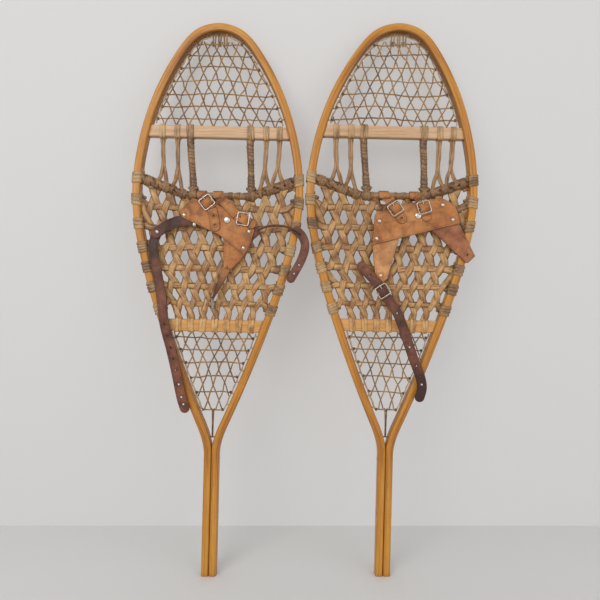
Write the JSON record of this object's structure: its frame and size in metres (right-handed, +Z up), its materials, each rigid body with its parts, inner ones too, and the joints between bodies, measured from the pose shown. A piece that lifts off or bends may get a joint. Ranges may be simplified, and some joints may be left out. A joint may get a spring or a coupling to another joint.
{
  "type": "snowshoes",
  "caption": "Pair of long-tailed snowshoes: bent wooden frames laced with rawhide, each with a leather binding that tips on the toe cord.",
  "frame": {"origin": "on the floor, midway between the two tail ends' middles", "axes": "+Z up along the snowshoes from tail to toe, +X from the left snowshoe to the right one, -Y out of the walking side, where the bindings are"},
  "size_m": [0.6792, 0.0413, 1.0798],
  "materials": {
    "ash_strip": "satin varnish",
    "crossbar_wood": "satin varnish",
    "nickelled_steel": "worn bright plating",
    "fine_rawhide": "varnished, semi-gloss",
    "cord_rawhide": "varnished, semi-gloss",
    "heavy_rawhide": "varnished, semi-gloss",
    "tan_leather": "smooth, dry, creased",
    "brown_strap_leather": "smooth, worn, dark"
  },
  "bodies": {
    "left_shoe": {"left_frame_bow": "ash_strip", "left_front_crossbar": "crossbar_wood", "left_rear_crossbar": "crossbar_wood", "left_tail_rivets": "nickelled_steel", "left_toe_selvedge": "fine_rawhide", "left_toe_lacing": "fine_rawhide", "left_toe_cord": "cord_rawhide", "left_side_cords": "cord_rawhide", "left_lifter_cords": "cord_rawhide", "left_body_webbing": "heavy_rawhide", "left_rail_wraps": "heavy_rawhide", "left_tail_selvedge": "fine_rawhide", "left_tail_lacing": "fine_rawhide"},
    "left_binding": {"left_instep_plate": "tan_leather", "left_inner_tab": "tan_leather", "left_outer_tab": "brown_strap_leather", "left_ankle_strap": "brown_strap_leather", "left_plate_rivets": "nickelled_steel", "left_toe_strap_a": "tan_leather", "left_toe_strap_b": "tan_leather", "left_buckle_chapes": "tan_leather", "left_buckle_a": "nickelled_steel", "left_buckle_b": "nickelled_steel", "left_heel_rivet": "nickelled_steel"},
    "left_tongue_a": {"left_tongue_a": "nickelled_steel"},
    "left_tongue_b": {"left_tongue_b": "nickelled_steel"},
    "left_heel_strap": {"left_heel_strap": "brown_strap_leather"},
    "left_heel_buckle": {"left_heel_buckle": "nickelled_steel"},
    "left_heel_tongue": {"left_heel_tongue": "nickelled_steel"},
    "right_shoe": {"right_frame_bow": "ash_strip", "right_front_crossbar": "crossbar_wood", "right_rear_crossbar": "crossbar_wood", "right_tail_rivets": "nickelled_steel", "right_toe_selvedge": "fine_rawhide", "right_toe_lacing": "fine_rawhide", "right_toe_cord": "cord_rawhide", "right_side_cords": "cord_rawhide", "right_lifter_cords": "cord_rawhide", "right_body_webbing": "heavy_rawhide", "right_rail_wraps": "heavy_rawhide", "right_tail_selvedge": "fine_rawhide", "right_tail_lacing": "fine_rawhide"},
    "right_binding": {"right_instep_plate": "tan_leather", "right_inner_tab": "tan_leather", "right_outer_tab": "tan_leather", "right_plate_rivets": "nickelled_steel", "right_toe_strap_a": "tan_leather", "right_toe_strap_b": "tan_leather", "right_buckle_chapes": "tan_leather", "right_buckle_a": "nickelled_steel", "right_buckle_b": "nickelled_steel", "right_heel_rivet": "nickelled_steel"},
    "right_tongue_a": {"right_tongue_a": "nickelled_steel"},
    "right_tongue_b": {"right_tongue_b": "nickelled_steel"},
    "right_heel_strap": {"right_heel_strap": "brown_strap_leather", "right_heel_chape": "brown_strap_leather", "right_heel_buckle": "nickelled_steel"},
    "right_heel_tongue": {"right_heel_tongue": "nickelled_steel"}
  },
  "joints": [
    {"name": "right_shoe_carry", "type": "slide", "parent": "left_shoe", "child": "right_shoe", "axis": [1, 0, 0], "range_m": [0, 0.3]},
    {"name": "left_binding_pivot", "type": "hinge", "parent": "left_shoe", "child": "left_binding", "pos_m": [-0.15182, 0, 0.74378], "axis": [-0.9997, 0, 0.0244], "range_deg": [0, 75]},
    {"name": "right_binding_pivot", "type": "hinge", "parent": "right_shoe", "child": "right_binding", "pos_m": [0.18818, 0, 0.74378], "axis": [-0.9997, 0, 0.0244], "range_deg": [0, 75]},
    {"name": "left_heel_strap_swing", "type": "hinge", "parent": "left_binding", "child": "left_heel_strap", "pos_m": [-0.26715, -0.018, 0.67057], "axis": [0, -1, 0], "range_deg": [-15, 15]},
    {"name": "right_heel_strap_swing", "type": "hinge", "parent": "right_binding", "child": "right_heel_strap", "pos_m": [0.16482, -0.0173, 0.5863], "axis": [0, -1, 0], "range_deg": [-15, 15]},
    {"name": "left_heel_buckle_swing", "type": "hinge", "parent": "left_binding", "child": "left_heel_buckle", "pos_m": [-0.16078, -0.0135, 0.54094], "axis": [0, -1, 0], "range_deg": [-60, 60]},
    {"name": "left_heel_tongue_lift", "type": "hinge", "parent": "left_heel_buckle", "child": "left_heel_tongue", "pos_m": [-0.16078, -0.0135, 0.54094], "axis": [0, 1, 0], "range_deg": [0, 60]},
    {"name": "left_tongue_a_lift", "type": "hinge", "parent": "left_binding", "child": "left_tongue_a", "pos_m": [-0.17023, -0.0233, 0.72722], "axis": [0.7923, 0, 0.6101], "range_deg": [0, 5]},
    {"name": "left_tongue_b_lift", "type": "hinge", "parent": "left_binding", "child": "left_tongue_b", "pos_m": [-0.1005, -0.0233, 0.69501], "axis": [0.521, 0, 0.8536], "range_deg": [0, 5]},
    {"name": "right_tongue_a_lift", "type": "hinge", "parent": "right_binding", "child": "right_tongue_a", "pos_m": [0.19228, -0.0233, 0.71517], "axis": [0.8329, 0, 0.5534], "range_deg": [0, 5]},
    {"name": "right_tongue_b_lift", "type": "hinge", "parent": "right_binding", "child": "right_tongue_b", "pos_m": [0.24755, -0.0233, 0.71732], "axis": [0.9583, 0, 0.2857], "range_deg": [0, 5]},
    {"name": "right_heel_tongue_lift", "type": "hinge", "parent": "right_heel_strap", "child": "right_heel_tongue", "pos_m": [0.16859, -0.0221, 0.5562], "axis": [0.8425, 0, 0.5388], "range_deg": [0, 5]}
  ]
}
